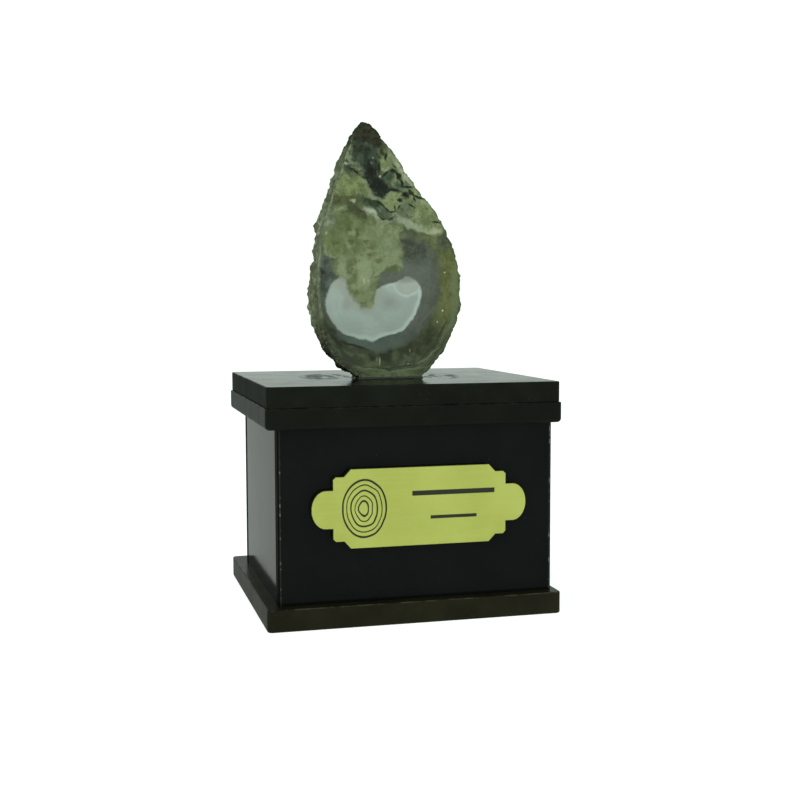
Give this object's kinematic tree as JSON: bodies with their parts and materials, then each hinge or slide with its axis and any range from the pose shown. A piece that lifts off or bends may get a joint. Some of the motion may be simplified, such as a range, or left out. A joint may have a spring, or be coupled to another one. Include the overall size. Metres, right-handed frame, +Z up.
{
  "type": "agate on display stand",
  "caption": "Polished half of a drop-shaped agate nodule with a rough rind, standing on a small black box-shaped display stand with a plain gold-coloured plate.",
  "frame": {"origin": "middle of the underside of the base board", "axes": "+Z up, +X to the right as seen from the front, and the polished face and the plate look along -Y"},
  "size_m": [0.058, 0.0516, 0.0965],
  "materials": {
    "agate": "polished on the flat face, rough rind elsewhere",
    "cap_lacquer": "black gloss lacquer on fibreboard",
    "base_lacquer": "brown-black satin lacquer on fibreboard",
    "black_sheet": "gloss black acrylic sheet",
    "plate_gold": "satin pale gold face over a dark core"
  },
  "bodies": {
    "root": {"agate": "agate", "cap_upper_board": "cap_lacquer", "cap_lower_board": "cap_lacquer", "front_panel": "black_sheet", "back_panel": "black_sheet", "left_side_panel": "black_sheet", "right_side_panel": "black_sheet", "base_board": "base_lacquer", "name_plate": "plate_gold"}
  },
  "joints": []
}
